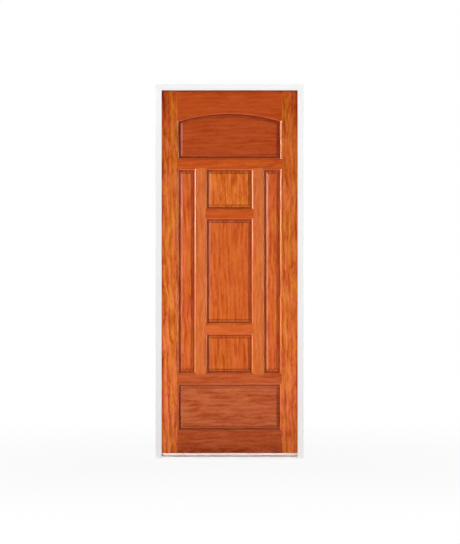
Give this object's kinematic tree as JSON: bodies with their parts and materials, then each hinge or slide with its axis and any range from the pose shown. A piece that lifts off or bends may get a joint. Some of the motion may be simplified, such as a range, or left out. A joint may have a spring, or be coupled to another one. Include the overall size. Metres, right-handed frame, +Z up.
{
  "type": "panelled front door",
  "caption": "Panelled hardwood front door with an arched top panel, butt-hinged in a slim white rebated frame with seals and a low threshold.",
  "frame": {"origin": "on the floor, under the middle of the threshold and of the frame's depth", "axes": "+Z up, -Y out of the pictured face, +X to the right seen from that face"},
  "size_m": [0.802, 0.0815, 2.028],
  "materials": {
    "door_wood": "satin varnish, orange-red hardwood",
    "door_wood_dark": "satin varnish, darker red hardwood",
    "cap_wood": "oiled hardwood",
    "frame_paint": "white satin paint",
    "hinge_steel": "satin",
    "threshold_aluminium": "satin anodised",
    "seal_rubber": "matt",
    "sweep_rubber": "matt"
  },
  "bodies": {
    "frame": {"hinge_jamb": "frame_paint", "closing_jamb": "frame_paint", "head_jamb": "frame_paint", "hinge_side_seal": "seal_rubber", "closing_side_seal": "seal_rubber", "head_seal": "seal_rubber", "threshold": "threshold_aluminium", "threshold_cap": "cap_wood", "corner_screws": "hinge_steel", "bottom_jamb_plate": "hinge_steel", "middle_jamb_plate": "hinge_steel", "top_jamb_plate": "hinge_steel", "jamb_hinge_screws": "hinge_steel", "bottom_hinge_pin": "hinge_steel", "middle_hinge_pin": "hinge_steel", "top_hinge_pin": "hinge_steel"},
    "door_leaf": {"hinge_stile": "door_wood", "closing_stile": "door_wood", "left_muntin": "door_wood", "right_muntin": "door_wood", "left_side_panel": "door_wood", "right_side_panel": "door_wood", "upper_centre_panel": "door_wood", "centre_panel": "door_wood", "lower_centre_panel": "door_wood", "rail_dowels": "door_wood", "muntin_dowels": "door_wood", "top_rail": "door_wood_dark", "frieze_rail": "door_wood_dark", "lower_rail": "door_wood_dark", "bottom_rail": "door_wood_dark", "upper_cross_rail": "door_wood_dark", "lower_cross_rail": "door_wood_dark", "arched_panel": "door_wood_dark", "base_panel": "door_wood_dark", "leaf_sweep": "sweep_rubber", "bottom_leaf_plate": "hinge_steel", "middle_leaf_plate": "hinge_steel", "top_leaf_plate": "hinge_steel", "leaf_hinge_screws": "hinge_steel"}
  },
  "joints": [
    {"name": "door_swing", "type": "hinge", "parent": "frame", "child": "door_leaf", "pos_m": [-0.3825, 0.041, 1.055], "axis": [0, 0, 1], "range_deg": [0, 170]}
  ]
}
